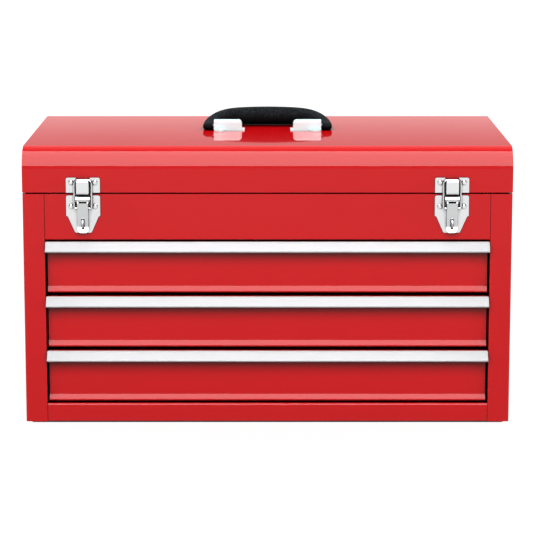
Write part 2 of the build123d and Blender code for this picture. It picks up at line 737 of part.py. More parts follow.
hook_cut = rounded(hook_frame, [0, HOOK_ROUND, HOOK_ROUND, 0])
hook = hook & run_y(hook_cut, out(2 * HOOK_REACH), FRONT)
strike += hook

base_top = BODY_TOP - BASE_TOP_GAP
base_low = base_top - BASE_HEIGHT
shoulder = base_top - BASE_SHOULDER
base_points = [
    (-latch_half, base_top),
    (latch_half, base_top),
    (latch_half, shoulder),
    (latch_half - BASE_STEP, shoulder - SHEET),
    (BASE_FOOT_WIDTH / 2, base_low),
    (-BASE_FOOT_WIDTH / 2, base_low),
    (BASE_STEP - latch_half, shoulder - SHEET),
    (-latch_half, shoulder),
]
base_radii = [LATCH_CORNER, LATCH_CORNER, 0.5, 0.5, LATCH_CORNER, LATCH_CORNER, 0.5, 0.5]
latch_base = run_y(rounded(base_points, base_radii), out(LATCH_SHEET), FRONT)
pivot_y = out(LEVER_PIVOT_OUT)
pivot_up = BODY_TOP - LEVER_PIVOT_DROP
ear_in = LEVER_WIDTH / 2 + EAR_GAP
ear_out = ear_in + EAR_SHEET
for ear in ((ear_in, ear_out), (-ear_out, -ear_in)):
    latch_base += rod_x(EAR_RADIUS, ear[0], ear[1], pivot_y, pivot_up)
    latch_base += block(
        ear[0], ear[1], pivot_y, out(LATCH_SHEET / 2), pivot_up - EAR_RADIUS, pivot_up + EAR_RADIUS
    )
latch_base -= rod_x(LEVER_PIN_RADIUS, -latch_half, latch_half, pivot_y, pivot_up)
latch_pin = rod_x(LEVER_PIN_RADIUS, -ear_out - SHEET / 2, ear_out + SHEET / 2, pivot_y, pivot_up)

# Lever: knuckle on the pin, slanted face, two side flanges that hold the bail's ends.
bail_y = out(LEVER_PIVOT_OUT - BAIL_INSET)
bail_up = pivot_up - BAIL_DROP
face_top_y = out(LEVER_PIVOT_OUT + 0.8 * LEVER_KNUCKLE)
face_top_z = pivot_up - 1.25 * LEVER_KNUCKLE
lever_low = pivot_up - LEVER_LENGTH
face_bend_y = out(LEVER_PIVOT_OUT - LEVER_SHEET)
face_tip_y = out(LEVER_PIVOT_OUT + 0.8 * LEVER_SHEET)
lever_line = [
    (face_top_y, face_top_z),
    (face_bend_y, lever_low + LEVER_TIP_LIFT),
    (face_tip_y, lever_low),
]
lever_half = LEVER_WIDTH / 2
lever = run_x(bent(lever_line, [LEVER_TIP_LIFT], LEVER_SHEET), -lever_half, lever_half)
lever += rod_x(LEVER_KNUCKLE, -lever_half, lever_half, pivot_y, pivot_up)
flange_points = [
    (pivot_y, pivot_up),
    (face_top_y, face_top_z),
    (face_bend_y, lever_low + 1.5 * LEVER_TIP_LIFT),
    (bail_y + 1.2 * LEVER_SHEET, lever_low + 1.5 * LEVER_TIP_LIFT),
    (bail_y + 2 * LEVER_SHEET, bail_up - 3 * LEVER_SHEET),
    (bail_y + 2 * LEVER_SHEET, bail_up + 3 * LEVER_SHEET),
]
lever += run_x(polygon(flange_points), lever_half - LEVER_SHEET, lever_half)
lever += run_x(polygon(flange_points), -lever_half, LEVER_SHEET - lever_half)
lever_frame = [
    (-lever_half, lever_low - LEVER_SHEET / 2),
    (-lever_half, BODY_TOP),
    (lever_half, BODY_TOP),
    (lever_half, lever_low - LEVER_SHEET / 2),
]
lever_cut = rounded(lever_frame, [0.95 * lever_half, 0, 0, 0.95 * lever_half])
lever = lever & run_y(lever_cut, out(3 * LEVER_PIVOT_OUT), FRONT)
lever -= rod_x(LEVER_PIN_RADIUS + LEVER_PIN_PLAY, -latch_half, latch_half, pivot_y, pivot_up)
lever -= rod_x(BAIL_RADIUS + BAIL_PLAY, -latch_half, latch_half, bail_y, bail_up)
staple_z = pivot_up - STAPLE_DROP
slot_half = STAPLE_SHEET / 2 + SLOT_PLAY
lever -= block(
    -slot_half,
    slot_half,
    out(STAPLE_REACH),
    FRONT,
    staple_z - STAPLE_HEIGHT / 2 - SLOT_RUN,
    staple_z + STAPLE_HEIGHT / 2 + SLOT_PLAY,
)

# Padlock staple on the base plate, coming through the lever's slot.
staple = block(
    -STAPLE_SHEET / 2,
    STAPLE_SHEET / 2,
    out(STAPLE_REACH),
    out(LATCH_SHEET),
    staple_z - STAPLE_HEIGHT / 2,
    staple_z + STAPLE_HEIGHT / 2,
)
staple = fillet(lines_at(staple, Axis.X, y=out(STAPLE_REACH)), 0.4 * STAPLE_HEIGHT)
staple -= rod_x(STAPLE_HOLE_RADIUS, -SHEET, SHEET, out(STAPLE_HOLE_OUT), staple_z)

# Bail: one bent wire from the lever's flanges over the hook's sloping ledge.
wire_y = out(LATCH_SHEET + BAIL_RADIUS + CAGE_PLAY)
ledge_run = (hook_mid - wire_y) / (hook_mid - ledge_y)
ledge_z = hook_high - HOOK_LEDGE_FALL * ledge_run
ledge_tilt = cos(atan2(HOOK_LEDGE_FALL, abs(ledge_y - hook_mid)))
wire_z = ledge_z + (LATCH_SHEET / 2 + BAIL_RADIUS + BAIL_SEAT) / ledge_tilt
end_x = lever_half - LEVER_SHEET - BAIL_PLAY
wire = FilletPolyline(
    (-end_x, bail_y, bail_up),
    (-BAIL_HALF, bail_y, bail_up),
    (-BAIL_HALF, wire_y, wire_z),
    (BAIL_HALF, wire_y, wire_z),
    (BAIL_HALF, bail_y, bail_up),
    (end_x, bail_y, bail_up),
    radius=[1.5 * BAIL_RADIUS, BAIL_CORNER, BAIL_CORNER, 1.5 * BAIL_RADIUS],
)
wire_start = Plane(origin=(-end_x, bail_y, bail_up), z_dir=(-1, 0, 0))
bail = sweep(wire_start * Circle(BAIL_RADIUS), path=wire)

strike_rivets = []
base_rivets = []
pins = []
for hand, place in (("right", LATCH_X), ("left", -LATCH_X)):
    move = Pos(place, 0, 0)
    save(move * strike, hand + "_latch_strike")
    save(move * latch_base, hand + "_latch_base")
    save(move * lever, hand + "_latch_lever")
    save(move * bail, hand + "_latch_bail")
    save(move * staple, hand + "_padlock_staple")
    pins.append(move * latch_pin)
    for spread in (-LATCH_RIVET_SPREAD, LATCH_RIVET_SPREAD):
        x = place + spread
        top = out(LATCH_SHEET + LATCH_RIVET_HEAD)
        head = rod_y(LATCH_RIVET_RADIUS, top, out(LATCH_SHEET), x, strike_top - STRIKE_RIVET_DROP)
        strike_rivets.append(fillet(head.edges().group_by(Axis.Y)[0], 0.7 * LATCH_RIVET_HEAD))
        head = rod_y(LATCH_RIVET_RADIUS, top, out(LATCH_SHEET), x, base_top - BASE_RIVET_DROP)
        base_rivets.append(fillet(head.edges().group_by(Axis.Y)[0], 0.7 * LATCH_RIVET_HEAD))
save(group(strike_rivets), "latch_strike_rivets")
save(group(base_rivets), "latch_base_rivets")
save(group(pins), "latch_pivot_pins")
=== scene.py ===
# %% [markdown]
# # A red portable tool chest
# This lesson dresses a tool chest whose solids are already drawn: folded sheet steel, three drawers
# with slanted pulls, a round-edged lid, two draw latches and a folding handle. Each solid comes in as
# one Blender object. The lesson gives every one a finish, swaps a few for finer shapes, and sets up the
# light, the floor and the camera.

# %% Load the frame
import json
import math

import bpy
import numpy as np
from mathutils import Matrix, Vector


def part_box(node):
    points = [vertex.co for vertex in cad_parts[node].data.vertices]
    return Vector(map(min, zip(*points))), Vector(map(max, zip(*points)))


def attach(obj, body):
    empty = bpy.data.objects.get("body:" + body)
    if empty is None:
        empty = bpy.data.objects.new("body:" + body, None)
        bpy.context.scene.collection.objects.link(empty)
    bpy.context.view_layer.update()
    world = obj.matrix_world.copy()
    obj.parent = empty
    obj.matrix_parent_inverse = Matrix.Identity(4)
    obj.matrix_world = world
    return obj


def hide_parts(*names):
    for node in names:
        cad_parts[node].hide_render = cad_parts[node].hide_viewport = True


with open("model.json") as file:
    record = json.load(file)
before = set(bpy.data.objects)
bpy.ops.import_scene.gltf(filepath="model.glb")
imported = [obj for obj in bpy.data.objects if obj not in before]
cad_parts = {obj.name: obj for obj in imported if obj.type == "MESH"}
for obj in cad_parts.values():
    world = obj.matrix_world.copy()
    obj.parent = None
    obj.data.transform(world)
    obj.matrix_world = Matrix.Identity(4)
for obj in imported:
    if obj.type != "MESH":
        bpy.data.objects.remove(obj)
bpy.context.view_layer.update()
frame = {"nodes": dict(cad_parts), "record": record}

# %% [markdown]
# ## Shader sums written as Python
# A finish is a small network of nodes. It could be wired by hand in the shader editor, or scripted node
# by node, but then the sum that the nodes work out is hard to see. Here one class stands for an output
# socket. Adding or multiplying two of them adds the Math node, and `add` makes any other node from its
# type, its settings and what goes into its sockets, so a finish reads as a few short sums.

# %% A wire between shader nodes
class Wire:
    """One output of a shader node. Sums on it add Math nodes, and add() adds any other node."""

    def __init__(self, tree, socket=None):
        self.tree = tree
        self.socket = socket

    def add(self, kind, settings=None, sockets=None, output=0):
        """A new node: its settings first, then the numbers or wires that go into its sockets."""
        node = self.tree.nodes.new(kind)
        for name, value in (settings or {}).items():
            if name == "stops":
                ramp = node.color_ramp.elements
                while len(ramp) < len(value):
                    ramp.new(1.0)
                for stop, (place, colour) in zip(ramp, value):
                    stop.position = place
                    stop.color = (*colour, 1.0)
            else:
                setattr(node, name, value)
        for name, value in (sockets or {}).items():
            if isinstance(value, Wire):
                self.tree.links.new(value.socket, node.inputs[name])
            else:
                node.inputs[name].default_value = value
        return Wire(self.tree, node.outputs[output] if node.outputs else None)

    def combine(self, operation, first, second):
        """A Math node on two values, either of which may be a plain number."""
        return self.add("ShaderNodeMath", {"operation": operation}, {0: first, 1: second})

    def __add__(self, other):
        return self.combine("ADD", self, other)

    def __radd__(self, other):
        return self.combine("ADD", other, self)

    def __sub__(self, other):
        return self.combine("SUBTRACT", self, other)

    def __rsub__(self, other):
        return self.combine("SUBTRACT", other, self)

    def __mul__(self, other):
        return self.combine("MULTIPLY", self, other)

    def __rmul__(self, other):
        return self.combine("MULTIPLY", other, self)


print("a wire can be added, subtracted and multiplied")

# %% [markdown]
# ## Patterns that the finishes share
# No real finish is even: paint clouds a little and metal has a grain, and here shade is painted into
# seams as well. Pictures of such surfaces could be wrapped round the pieces, but they would have to be
# fitted to each one. Worked-out patterns need no fitting. They read the object's own coordinates in
# metres, so a grain has its real size on every piece and stays on it when it moves.

# %% Patterns for finishes
def start_finish(name):
    """A new material, its shader, and a wire with the object's own coordinates in metres."""
    material = bpy.data.materials.new(name)
    material.use_nodes = True
    shader = material.node_tree.nodes["Principled BSDF"]
    place = Wire(material.node_tree).add("ShaderNodeTexCoord", output="Object")
    return material, shader, place


def feed(shader, sockets):
    """Set the shader's sockets, from numbers and colours or from wires."""
    for name, value in sockets.items():
        if isinstance(value, Wire):
            value.tree.links.new(value.socket, shader.inputs[name])
        else:
            shader.inputs[name].default_value = value


def noise(place, scale, detail=2.0):
    """Soft random cloud, about 1 / scale metres from one lump to the next."""
    return place.add("ShaderNodeTexNoise", None, {"Vector": place, "Scale": scale, "Detail": detail})


def blend_colours(factor, first, second):
    """Colour that goes from the first to the second with the factor."""
    first, second = (c if isinstance(c, Wire) else (*c, 1.0) for c in (first, second))
    sockets = {0: factor, 6: first, 7: second}
    return factor.add("ShaderNodeMix", {"data_type": "RGBA"}, sockets, output=2)


def ease(value, start, end):
    """0 up to the start, 1 from the end on, and a soft S between them."""
    sockets = {"Value": value, "From Min": start, "From Max": end}
    return value.add("ShaderNodeMapRange", {"interpolation_type": "SMOOTHSTEP"}, sockets)


def openness(place, reach):
    """How much free space a point sees, out to the reach in metres: 0 in a seam, 1 in the open."""
    return place.add("ShaderNodeAmbientOcclusion", {"samples": 12}, {"Distance": reach}, output="AO")


def bump(height, strength, distance):
    """Small height differences that bend the light but not the outline."""
    sockets = {"Strength": strength, "Distance": distance, "Height": height}
    return height.add("ShaderNodeBump", None, sockets)


print("patterns ready: noise, blend_colours, ease, openness, bump")

# %% [markdown]
# ## Red gloss paint
# The sheet steel is sprayed with a hard red gloss that mirrors the studio: the lid shows the handle
# upside down. One even red would look like plastic, because sprayed paint is never quite flat. So a
# fine noise makes the faint orange-peel skin, a slower one lets the red drift a little, and the shine
# drifts with it. Shade is painted into the red: it goes nearly black where a point sees little around
# it, as in seams, gaps and under the pulls. The ground under the chest is no seam, so the lowest edge
# is left out of that painted shade.

# %% Red gloss paint
DEEP_RED = (0.72, 0.0030, 0.0055)
LIGHT_RED = (0.77, 0.0045, 0.0085)
# Painted shade: near-black red for seams, gaps and the faces under the pulls.
PAINTED_SEAM_SHADE = (0.012, 0.0004, 0.0005)


def red_gloss_paint():
    material, shader, place = start_finish("red_gloss_paint")
    drift = noise(place, scale=7.0)
    skin = noise(place, scale=480.0, detail=1.0)
    red = blend_colours(drift, DEEP_RED, LIGHT_RED)
    height = place.add("ShaderNodeSeparateXYZ", None, {0: place}, output="Z")
    above_ground = ease(height, start=0.014, end=0.021)
    in_the_open = ease(openness(place, reach=0.022), start=0.33, end=0.97)
    # Painted shade: the red turns to the seam shade where a point sees little space, except near the
    # ground.
    unshaded_paint = 1.0 - above_ground * (1.0 - in_the_open)
    feed(shader, {
        "Base Color": blend_colours(unshaded_paint, PAINTED_SEAM_SHADE, red),
        "Roughness": 0.02 + 0.03 * drift,
        "Normal": bump(skin, strength=0.02, distance=0.0002),
        "IOR": 1.40,
    })
    return material


red_paint = red_gloss_paint()
print("finish:", red_paint.name)

# %% [markdown]
# ## Satin aluminium
# The drawer pulls are drawn through a die, which leaves long fine scratches along them, and then
# anodised to a pale matt white-silver. Full metal would mirror the dark front of the studio and turn
# grey, so the shader is mostly a matt colour with a soft shine. A noise stretched some 150 times along x
# gives the scratches, in the shine as well as in the height.

# %% Satin aluminium
SCRATCH_SCALE = (9.0, 1400.0, 1400.0)
DULL_SILVER = (0.645, 0.665, 0.68)
CLEAR_SILVER = (0.72, 0.74, 0.755)


def satin_aluminium():
    material, shader, place = start_finish("satin_aluminium")
    along = place.add("ShaderNodeMapping", None, {"Vector": place, "Scale": SCRATCH_SCALE})
    scratches = noise(along, scale=1.0, detail=3.0)
    feed(shader, {
        "Base Color": blend_colours(scratches, DULL_SILVER, CLEAR_SILVER),
        "Metallic": 0.1,
        "Roughness": 0.42 + 0.16 * scratches,
        "Normal": bump(scratches, strength=0.15, distance=0.00005),
    })
    return material


pull_aluminium = satin_aluminium()
print("finish:", pull_aluminium.name)

# %% [markdown]
# ## Plated steel
# The latches are pressed steel with a bright plating. Padlock staples, hinge, stays and slides have a
# duller zinc with a faint bloom, and the slides' balls are polished. Each could have its own network,
# but they differ only in a few numbers, so one recipe makes them all: a metal whose colour and shine
# wander between two values, with a grain that differs in size and depth. Shade is painted in as a
# near-black colour in the gaps between latch pieces and inside the slides, and that draws the latch's
# outlines.

# %% Plated steel
# Painted shade: near-black colour for the gaps between latch pieces and inside the slides.
PAINTED_GAP_SHADE = (0.012, 0.012, 0.013)


def plated_steel(name, dark, light, shine, wander, grain, depth, reach):
    """Metal from dark to light, as rough as the shine plus up to the wander. The grain is in lumps a
    metre, and shade is painted near-black where something stands within the reach."""
    material, shader, place = start_finish(name)
    bloom = noise(place, scale=60.0, detail=3.0)
    # Painted shade where a point sees little space within the reach.
    unshaded_plate = ease(openness(place, reach), start=0.40, end=0.80)
    feed(shader, {
        "Base Color": blend_colours(unshaded_plate, PAINTED_GAP_SHADE, blend_colours(bloom, dark, light)),
        "Metallic": 1.0,
        "Roughness": shine + wander * bloom,
        "Normal": bump(noise(place, scale=grain), strength=depth, distance=0.0001),
    })
    return material


bright_plate = plated_steel(
    "bright_plating", dark=(0.88, 0.89, 0.90), light=(0.94, 0.945, 0.95),
    shine=0.11, wander=0.06, grain=380.0, depth=0.06, reach=0.009)
plain_zinc = plated_steel(
    "plain_zinc", dark=(0.50, 0.51, 0.52), light=(0.66, 0.67, 0.68),
    shine=0.28, wander=0.14, grain=700.0, depth=0.12, reach=0.006)
slide_zinc = plated_steel(
    "shaded_slide_zinc", dark=(0.56, 0.57, 0.60), light=(0.72, 0.73, 0.75),
    shine=0.22, wander=0.14, grain=500.0, depth=0.10, reach=0.030)
ball_steel = plated_steel(
    "polished_ball_steel", dark=(0.74, 0.74, 0.76), light=(0.82, 0.82, 0.84),
    shine=0.06, wander=0.05, grain=900.0, depth=0.02, reach=0.004)
print("finishes:", bright_plate.name, plain_zinc.name, slide_zinc.name, ball_steel.name)

# %% [markdown]
# ## Pale zinc
# The handle brackets have the thick pale zinc of dipped fittings: milky, faintly blue and much duller
# than the latches. As a metal they would mirror the red lid and turn red, so this is mostly a matt
# colour with a soft shine over it, and a cloudy bloom.

# %% Pale zinc
MILKY_ZINC = (0.72, 0.91, 0.93)
CLEAR_ZINC = (0.78, 0.955, 0.965)


def pale_zinc():
    material, shader, place = start_finish("pale_zinc")
    bloom = noise(place, scale=90.0, detail=3.0)
    feed(shader, {
        "Base Color": blend_colours(bloom, MILKY_ZINC, CLEAR_ZINC),
        "Metallic": 0.05,
        "Roughness": 0.38 + 0.12 * bloom,
        "Normal": bump(noise(place, scale=500.0), strength=0.05, distance=0.0001),
    })
    return material


bracket_zinc = pale_zinc()
print("finish:", bracket_zinc.name)

# %% [markdown]
# ## Black grip rubber
# The grip is moulded in black rubber with a coarse leather-like grain. The grain could be cut into the
# mesh, but at this size a bump from noise bends the light just as well. Its high spots are paler because
# hands polish them first. Shade is painted in as well: the underside, close to the lid, stays black.

# %% Black grip rubber
UNWORN_OR_SHADED_RUBBER = (0.0022, 0.0030, 0.0034)
RUBBED_RUBBER = (0.022, 0.028, 0.031)


def black_rubber():
    material, shader, place = start_finish("black_rubber")
    grain = noise(place, scale=620.0, detail=3.0)
    mottle = noise(place, scale=180.0)
    # Painted shade: the underside close to the lid stays black. The pale colour is wear on the grain's
    # high spots.
    clear_of_painted_shade = ease(openness(place, reach=0.035), start=0.50, end=1.0)
    worn_and_unshaded = ease(grain, start=0.38, end=0.66) * clear_of_painted_shade
    feed(shader, {
        "Base Color": blend_colours(worn_and_unshaded, UNWORN_OR_SHADED_RUBBER, RUBBED_RUBBER),
        "Roughness": 0.55 + 0.25 * mottle,
        "Specular IOR Level": 0.06,
        "Normal": bump(0.6 * grain + 0.4 * mottle, strength=0.5, distance=0.0006),
    })
    return material


grip_rubber = black_rubber()
print("finish:", grip_rubber.name)

# %% [markdown]
# ## Matt primer
# The base plate under the shell only has a dull grey primer. It is hardly seen, so a plain matt paint is
# enough, with a slightly cloudy grey and a dusty grain.

# %% Matt primer
DARK_PRIMER = (0.15, 0.125, 0.13)
PALE_PRIMER = (0.22, 0.19, 0.195)


def matt_primer():
    material, shader, place = start_finish("matt_primer")
    cloud = noise(place, scale=40.0, detail=3.0)
    feed(shader, {
        "Base Color": blend_colours(cloud, DARK_PRIMER, PALE_PRIMER),
        "Roughness": 0.7 + 0.2 * cloud,
        "Normal": bump(noise(place, scale=1200.0), strength=0.2, distance=0.0002),
    })
    return material


base_primer = matt_primer()
print("finish:", base_primer.name)

# %% [markdown]
# ## A finish on every solid
# The record says which finish slot each solid takes, so the finishes are matched to those slot names and
# not to sixty names of solids. Two kinds of pieces share the latches' slot but look different: the
# brackets are milky and the staples are plain zinc. A solid keeps its mesh: only its material changes.

# %% Give each solid its finish
finish_of_slot = {
    "red_paint": red_paint,
    "pull_aluminium": pull_aluminium,
    "bright_plate": bright_plate,
    "plain_steel": plain_zinc,
    "slide_zinc": slide_zinc,
    "ball_steel": ball_steel,
    "grip_rubber": grip_rubber,
    "base_primer": base_primer,
}
finish_of_kind = {"handle_bracket": bracket_zinc, "staple": plain_zinc}
for part in frame["record"]["subparts"]:
    finish = finish_of_slot[part["material_slot"]]
    for kind, other in finish_of_kind.items():
        if kind in part["node"]:
            finish = other
    solid = frame["nodes"][part["node"]]
    solid.data.materials.clear()
    solid.data.materials.append(finish)

# %% [markdown]
# ## Putting a worked-out surface into a mesh
# A piece could be modelled by hand with extrusions and loop cuts. Here its surface is worked out with
# numpy, as a list of points and a list of faces, because then its sizes can be read and changed. This
# helper makes the mesh, turns the faces outwards, rounds the shading where the surface bends gently, and
# hangs the piece on its body in place of the solid that it stands for.

# %% From arrays to a piece
import bmesh

MM = 0.001


def make_piece(name, points, faces, node, body, slot, crease):
    """Piece from points and groups of faces. Edges sharper than the crease, in degrees, stay sharp."""
    mesh = bpy.data.meshes.new(name)
    mesh.from_pydata(points.tolist(), [], sum((group.tolist() for group in faces), []))
    draft = bmesh.new()
    draft.from_mesh(mesh)
    bmesh.ops.recalc_face_normals(draft, faces=draft.faces)
    draft.to_mesh(mesh)
    draft.free()
    mesh.shade_smooth()
    mesh.set_sharp_from_angle(angle=math.radians(crease))
    mesh.materials.append(finish_of_slot[slot])
    piece = bpy.data.objects.new(name, mesh)
    bpy.context.scene.collection.objects.link(piece)
    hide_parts(node)
    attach(piece, body)
    print(name, "points", len(points), "faces", len(mesh.polygons))


print("one millimetre is", MM, "metres")

# %% [markdown]
# ## Bent lines and grids
# A bent strip of metal and a moulded bar have the same beginnings: a line that goes round its corners in
# arcs. Blender's curves can round a corner too, but here the points along the line are needed one by
# one, to set ribs and sections on them. So the arcs are worked out and the line is walked at even steps.

# %% Bent lines and grids
ARC_POINTS = 25


def rounded_line(corners, radii, step):
    """Line through the corners with each inner corner swapped for an arc of the given radius,
    then walked at even steps. Where two runs meet, the arc starts radius / tan(half the corner's
    angle) before the corner, and turns from one run's direction to the other's. Gives the points
    and how far along the line each of them lies."""
    corners = np.asarray(corners, float)
    parts = [corners[:1]]
    for before, corner, after, radius in zip(corners[:-2], corners[1:-1], corners[2:], radii):
        back = (before - corner) / np.linalg.norm(before - corner)
        ahead = (after - corner) / np.linalg.norm(after - corner)
        half = math.acos(float(np.clip(back @ ahead, -1.0, 1.0))) / 2
        middle = corner + (back + ahead) / np.linalg.norm(back + ahead) * radius / math.sin(half)
        first = corner + back * radius / math.tan(half) - middle
        last = corner + ahead * radius / math.tan(half) - middle
        turn = np.linspace(0.0, 1.0, ARC_POINTS)[:, None]
        sweep = math.pi - 2 * half
        arc = (np.sin((1 - turn) * sweep) * first + np.sin(turn * sweep) * last) / math.sin(sweep)
        parts.append(middle + arc)
    parts.append(corners[-1:])
    line = np.concatenate(parts)
    run = np.concatenate([[0.0], np.cumsum(np.linalg.norm(np.diff(line, axis=0), axis=1))])
    even = np.linspace(0.0, run[-1], max(2, int(round(run[-1] / step)) + 1))
    return np.stack([np.interp(even, run, line[:, k]) for k in range(line.shape[1])], 1), even


def across(line):
    """Unit vectors at right angles to a flat line, on its left."""
    along = np.gradient(line, axis=0)
    along /= np.linalg.norm(along, axis=1, keepdims=True)
    return np.stack([-along[:, 1], along[:, 0]], 1)


def grid_faces(rows, columns, start=0):
    """Four-cornered faces between neighbours of a grid of points numbered row by row."""
    row, column = np.meshgrid(np.arange(rows - 1), np.arange(columns - 1), indexing="ij")
    corner = (start + row * columns + column).ravel()
    return np.stack([corner, corner + 1, corner + 1 + columns, corner + columns], 1)


square, run = rounded_line([(0.0, 0.0), (1.0, 0.0), (1.0, 1.0)], [0.5], 0.1)
print("a square corner with a radius of 0.5 is", round(run[-1], 3), "long in", len(square), "points")

# %% [markdown]
# ## Ribbed drawer pulls
# Each pull is a strip of drawn aluminium: a flange behind, a face that slants out and down with fine
# ribs along it, and a small hem under the nose. Ribs this fine could be a bump, but they also catch
# the light at the ends, so the outline is worked out: a bent line, thickened on both sides, with the
# outer skin dipping between ribs. The strip's cut ends are slightly rounded.

# %% The outline of a pull
PULL_SHEET = 1.4 * MM
PULL_REACH = 8.8 * MM
PULL_FALL = 9.0 * MM
PULL_FLAT = 1.8 * MM
PULL_BEND = 0.9 * MM
FLANGE_LIFT = 1.0 * MM
HEM_DEPTH = 2.2 * MM
HEM_FALL = 0.7 * MM
RIB_PITCH = 1.55 * MM
RIB_DEPTH = 0.16 * MM
RIBS_FROM_BACK = 2.2 * MM
RIBS_FROM_TOP = 0.5 * MM
RIBS_FROM_FOOT = 0.6 * MM
OUTLINE_STEP = 0.1 * MM


def pull_outline(high):
    """Outer and inner skin as (y, z) points: half the sheet to either side of a bent line. On the
    slanted face the outer skin dips by the rib depth times (1 - cosine) / 2, where the cosine makes
    one turn for each rib pitch along the line."""
    half_sheet = PULL_SHEET / 2
    back, top = high.y - half_sheet, high.z - half_sheet
    nose, foot = back - PULL_REACH, top - PULL_FALL
    corners = [
        (back, foot + FLANGE_LIFT),
        (back, top),
        (back - PULL_FLAT, top),
        (nose, foot),
        (nose + HEM_DEPTH, foot - HEM_FALL),
    ]
    line, run = rounded_line(corners, [PULL_BEND] * 3, OUTLINE_STEP)
    normal = -across(line)
    slant = (line[:, 0] < back - RIBS_FROM_BACK) & (line[:, 1] < top - RIBS_FROM_TOP)
    slant &= line[:, 1] > foot + RIBS_FROM_FOOT
    dip = np.where(slant, 0.5 - 0.5 * np.cos(2 * np.pi * run / RIB_PITCH), 0.0) * RIB_DEPTH
    return line + normal * (half_sheet - dip)[:, None], line - normal * half_sheet


print("ribs down the slanted face:", round(math.hypot(PULL_REACH - PULL_FLAT, PULL_FALL) / RIB_PITCH, 1))

# %% [markdown]
# ## From the outline to three pulls
# The outline is carried along x between the ends of the pull's solid. It could be extruded in one go,
# but near each end a few more sections are set, on which the sheet thins as a quarter circle does, so
# the cut edges catch the light as filed metal does.

# %% Ribbed drawer pulls
END_SECTIONS = np.array([0.0, 0.08, 0.25, 0.55, 1.0])
LEAST_SHEET = 0.3
MIDDLE_SECTIONS = 9


def ribbed_pull(place):
    """Points (x, outline): each section is the outline with its sheet thinned about its middle. Over
    the last half sheet before an end the thickness falls as a quarter circle does, but never below
    the least share."""
    node = place + "_drawer_pull"
    low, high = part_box(node)
    outer, inner = pull_outline(high)
    half_sheet = PULL_SHEET / 2
    inset = END_SECTIONS * half_sheet
    between = np.linspace(low.x, high.x, MIDDLE_SECTIONS)[1:-1]
    stations = np.concatenate([low.x + inset, between, high.x - inset[::-1]])
    depth_in = np.minimum(stations - low.x, high.x - stations)
    swell = np.sqrt(1 - (1 - np.clip(depth_in / half_sheet, 0.0, 1.0)) ** 2).clip(LEAST_SHEET, 1.0)
    middle = (outer + inner) / 2
    skins = []
    for skin in (outer, inner):
        spread = middle[None] + (skin - middle)[None] * swell[:, None, None]
        station = np.broadcast_to(stations[:, None, None], spread.shape[:2] + (1,))
        skins.append(np.concatenate([station, spread], 2))
    rows, columns = skins[0].shape[:2]
    points = np.concatenate([skins[0].reshape(-1, 3), skins[1].reshape(-1, 3)])
    gap = rows * columns
    faces = [grid_faces(rows, columns), grid_faces(rows, columns, gap)]
    for row in (0, rows - 1):
        edge = row * columns + np.arange(columns - 1)
        faces.append(np.stack([edge, edge + 1, edge + 1 + gap, edge + gap], 1))
    for column in (0, columns - 1):
        edge = np.arange(rows - 1) * columns + column
        faces.append(np.stack([edge, edge + columns, edge + columns + gap, edge + gap], 1))
    name, body = place + "_ribbed_pull", place + "_drawer"
    make_piece(name, points, faces, node, body, "pull_aluminium", crease=50.0)


for drawer in ("bottom", "middle", "top"):
    ribbed_pull(drawer)

# %% [markdown]
# ## How the grip swells
# The grip lies folded back on the lid: two flat arms that start round at their pivots, sweep round the
# corners and swell into a thick crowned bar. It could be a subdivided box pushed into shape, but it is
# one smooth moulding whose sizes are known, so its width and height are worked out along a C-shaped
# path.

# %% How the grip swells
ARM_HALF_WIDTH = 6.0 * MM
ARM_HEIGHT = 8.0 * MM
BAR_HALF_WIDTH = 10.0 * MM
PLAN_CORNER = 40.0 * MM
CROWN_HEIGHT = 20.57 * MM
CROWN_DROP = 1.48 * MM
CROWN_HALF_LENGTH = 41.5 * MM
ARM_END_ROUND = 4.3 * MM
ROUND_LIMIT = 0.985


def grip_sections(path, low, bar_y):
    """Swell, half width, height and end rounding at each point of the path. The swell goes from 0 on
    the arms to 1 on the bar as a soft S, and the width and height follow it. The bar's crown falls
    with the square of the way from its middle, and the arms' ends close as a quarter circle."""
    x, y = path[:, 0], path[:, 1]
    from_arm = np.clip((y - (bar_y - PLAN_CORNER)) / PLAN_CORNER, 0.0, 1.0)
    swell = from_arm ** 2 * (3 - 2 * from_arm)
    width = ARM_HALF_WIDTH + (BAR_HALF_WIDTH - ARM_HALF_WIDTH) * swell
    crown = CROWN_HEIGHT - CROWN_DROP * (x / CROWN_HALF_LENGTH) ** 2
    top = ARM_HEIGHT + (crown - ARM_HEIGHT) * swell
    to_end = np.clip((low.y + ARM_END_ROUND - y) / ARM_END_ROUND, 0.0, ROUND_LIMIT)
    return swell, width, top, np.sqrt(1 - to_end ** 2)


print("the bar is", round(CROWN_HEIGHT / ARM_HEIGHT, 1), "times as high as the arms")

# %% [markdown]
# ## Moulded grip
# A round section would look like a hose, and a square one has edges that no moulding has. So the section
# is a superellipse, which lies between a circle and a rectangle. It is carried along the path with the
# width and height just worked out, and both ends are drawn together to a point.

# %% Moulded grip
PATH_STEP = 0.8 * MM
SECTION_POINTS = 56
UNDERSIDE_POWER = 0.65
ARM_SQUARENESS = 2.1
BAR_SQUARENESS_MORE = 0.4


